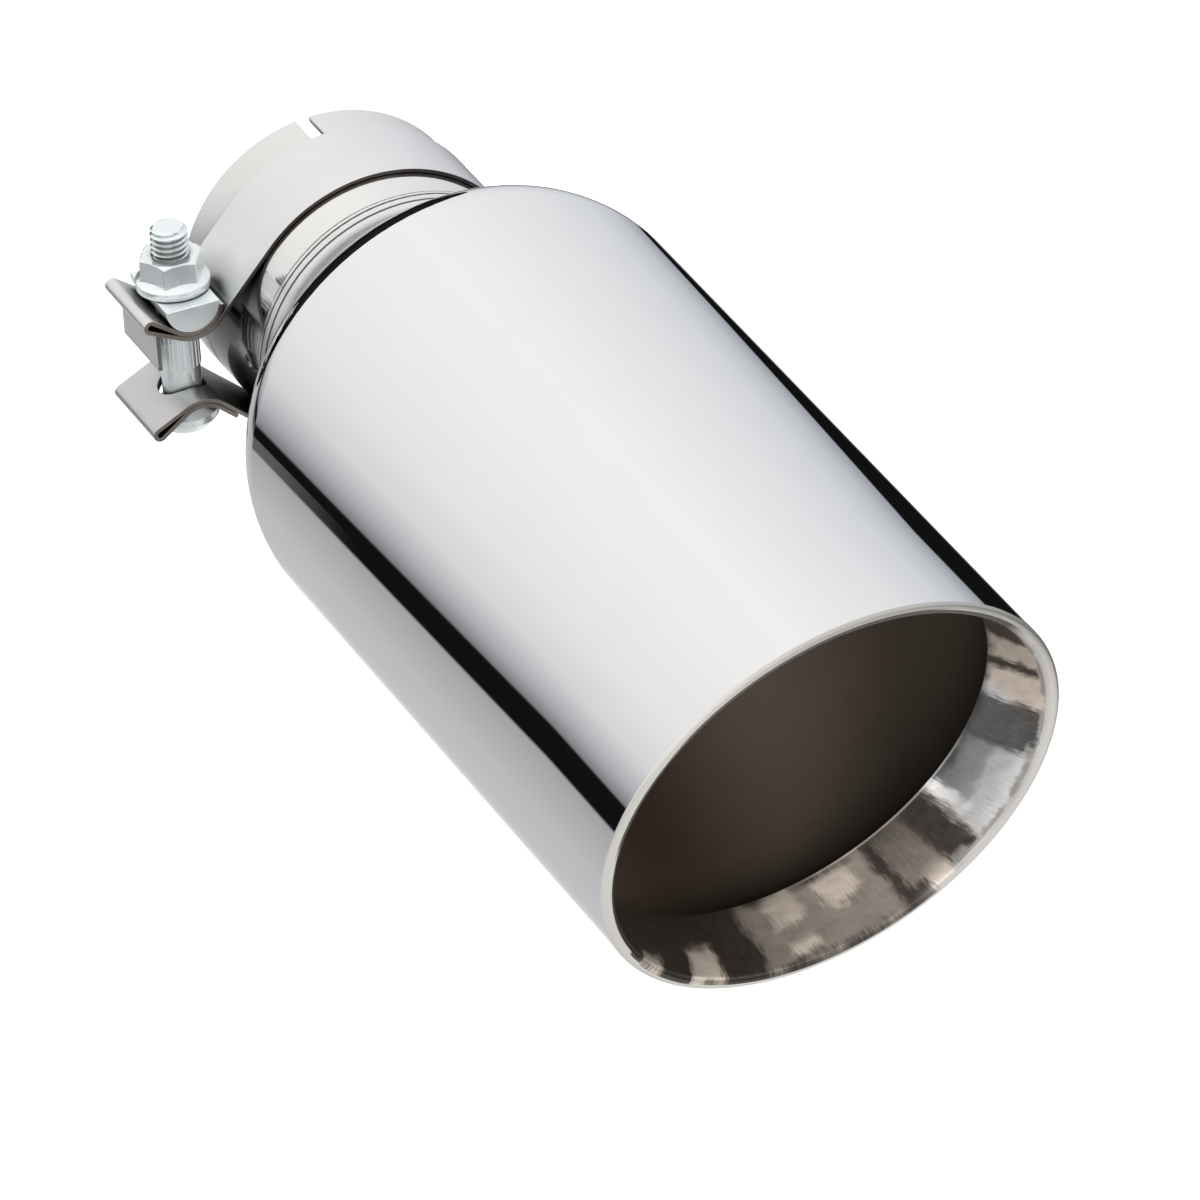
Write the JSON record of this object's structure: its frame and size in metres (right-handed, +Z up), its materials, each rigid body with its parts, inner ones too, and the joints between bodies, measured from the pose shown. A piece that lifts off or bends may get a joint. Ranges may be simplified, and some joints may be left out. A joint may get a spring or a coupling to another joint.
{
  "type": "exhaust tip",
  "caption": "Polished round exhaust tip with a slant mouth and turned-in lip, spun shoulder, slotted inlet neck and a flat band clamp with bolt, half-moon spacer and flange nut.",
  "frame": {"origin": "centre of the inlet neck's open rear end", "axes": "+X along the tip's axis towards the mouth, +Z up: the longest side of the slant mouth is on top"},
  "size_m": [0.2707, 0.1054, 0.1016],
  "materials": {
    "polished_shell": "mirror-polished stainless steel",
    "neck_steel": "polished and satin stainless steel",
    "weld_metal": "weld bead, slightly heat-tinted",
    "band_steel": "satin stainless strap",
    "zinc_spacer": "bright zinc plate",
    "zinc_bolt": "bright zinc plate",
    "zinc_nut": "bright zinc plate"
  },
  "bodies": {
    "tip": {"shell": "polished_shell", "inlet_neck": "neck_steel", "neck_weld": "weld_metal", "clamp_band": "band_steel", "clamp_bolt": "zinc_bolt"},
    "spacer": {"half_moon_spacer": "zinc_spacer"},
    "nut": {"flange_nut": "zinc_nut"}
  },
  "joints": [
    {"name": "spacer_slide", "type": "slide", "parent": "tip", "child": "spacer", "axis": [0, 0.23, 0.9732], "range_m": [0, 0.00601]},
    {"name": "nut_turn", "type": "hinge", "parent": "spacer", "child": "nut", "pos_m": [0.0205, -0.04063, 0.0096], "axis": [0, 0.23, 0.9732], "range_deg": [0, 1728]}
  ],
  "couplings": [
    {"joint": "spacer_slide", "follows": "nut_turn", "m_per_rad": 0.00019894}
  ]
}
